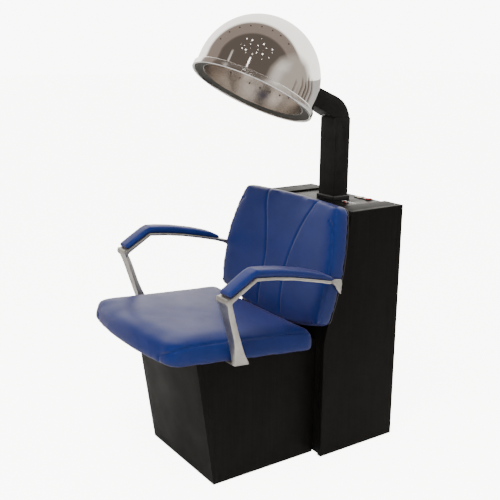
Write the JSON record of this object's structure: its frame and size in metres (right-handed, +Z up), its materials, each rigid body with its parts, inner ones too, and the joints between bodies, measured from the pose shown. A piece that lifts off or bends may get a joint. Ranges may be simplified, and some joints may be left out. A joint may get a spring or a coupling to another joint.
{
  "type": "hood hair dryer",
  "caption": "Salon dryer chair: padded seat, back and armrests on a board base, with a blower cabinet behind and a bright dome hood that tilts on a post.",
  "frame": {"origin": "centre of the overall footprint box, on the floor", "axes": "+Z up from the floor, -Y to the front of the seat, +X to the sitter's left"},
  "size_m": [0.7, 0.9223, 1.4164],
  "materials": {
    "cabinet_laminate": "black woodgrain laminate on board",
    "base_laminate": "black laminate on board",
    "vinyl": "royal blue upholstery vinyl over foam",
    "cast_aluminium": "satin cast aluminium",
    "bowl_metal": "polished, perforated",
    "chrome": "mirror bright plate",
    "black_steel": "satin black powder coat",
    "steel": "zinc plated",
    "plywood": "plywood",
    "gloss_black": "gloss black",
    "matte_black": "moulded",
    "flange_plastic": "olive brown",
    "cream": "cream, lit",
    "red": "red, lit",
    "mica": "mica sheet",
    "rubber": "hard rubber"
  },
  "bodies": {
    "chair": {"side_panel_left": "cabinet_laminate", "side_panel_right": "cabinet_laminate", "front_panel": "cabinet_laminate", "slant_panel": "cabinet_laminate", "cabinet_bottom": "cabinet_laminate", "blower_shelf": "cabinet_laminate", "cheek_left": "cabinet_laminate", "cheek_right": "cabinet_laminate", "base_front": "base_laminate", "base_side_left": "base_laminate", "base_side_right": "base_laminate", "base_deck": "base_laminate", "base_rail": "base_laminate", "seat_cushion": "vinyl", "back_cushion": "vinyl", "back_shell": "vinyl", "arm_pad_left": "vinyl", "arm_pad_right": "vinyl", "arm_left": "cast_aluminium", "arm_right": "cast_aluminium", "rear_panel": "black_steel", "post": "black_steel", "rear_panel_screws": "steel", "seat_screws": "steel", "back_bracket": "steel", "bracket_screws": "steel", "arm_screws": "steel", "top_frame": "steel", "post_bolts": "steel", "tilt_pin": "steel", "blower_housing": "steel", "blower_motor": "steel", "heater_box": "steel", "heater_coils": "steel", "seat_board": "plywood", "back_board": "plywood", "control_tray": "gloss_black", "post_collar": "gloss_black", "power_inlet": "matte_black", "timer_body": "matte_black", "heat_switch_body": "matte_black", "power_switch_body": "matte_black", "reset_bezel": "matte_black", "terminal_block": "matte_black", "thermal_cutout": "matte_black", "heater_frame": "mica", "floor_glides": "rubber"},
    "hood": {"tilt_arm": "black_steel", "stop_screw": "steel", "hood_saddle": "steel", "hood_dome": "chrome", "hood_rim": "chrome", "hood_flange": "flange_plastic", "inner_bowl": "bowl_metal"},
    "rotor": {"blower_wheel": "steel", "blower_shaft": "steel"},
    "timer_dial": {"timer_knob": "matte_black"},
    "heat_key": {"heat_rocker": "cream"},
    "power_key": {"power_rocker": "red"},
    "reset_key": {"reset_button": "red"}
  },
  "joints": [
    {"name": "hood_tilt", "type": "hinge", "parent": "chair", "child": "hood", "pos_m": [0, 0.3545, 1.06], "axis": [-1, 0, 0], "range_deg": [0, 40]},
    {"name": "timer_turn", "type": "hinge", "parent": "chair", "child": "timer_dial", "pos_m": [-0.095, 0.426, 0.8174], "axis": [0, 0, -1], "range_deg": [0, 300]},
    {"name": "heat_rock", "type": "hinge", "parent": "chair", "child": "heat_key", "pos_m": [0.05, 0.434, 0.811], "axis": [0, 1, 0], "range_deg": [0, 16]},
    {"name": "power_rock", "type": "hinge", "parent": "chair", "child": "power_key", "pos_m": [0.088, 0.434, 0.811], "axis": [0, 1, 0], "range_deg": [0, 16]},
    {"name": "reset_press", "type": "slide", "parent": "chair", "child": "reset_key", "axis": [0, 0, -1], "range_m": [0, 0.0025], "stiffness_N_per_m": 400, "springref_m": -0.001},
    {"name": "blower_spin", "type": "hinge", "parent": "chair", "child": "rotor", "pos_m": [0, 0.288, 0.503], "axis": [1, 0, 0], "continuous": true}
  ]
}
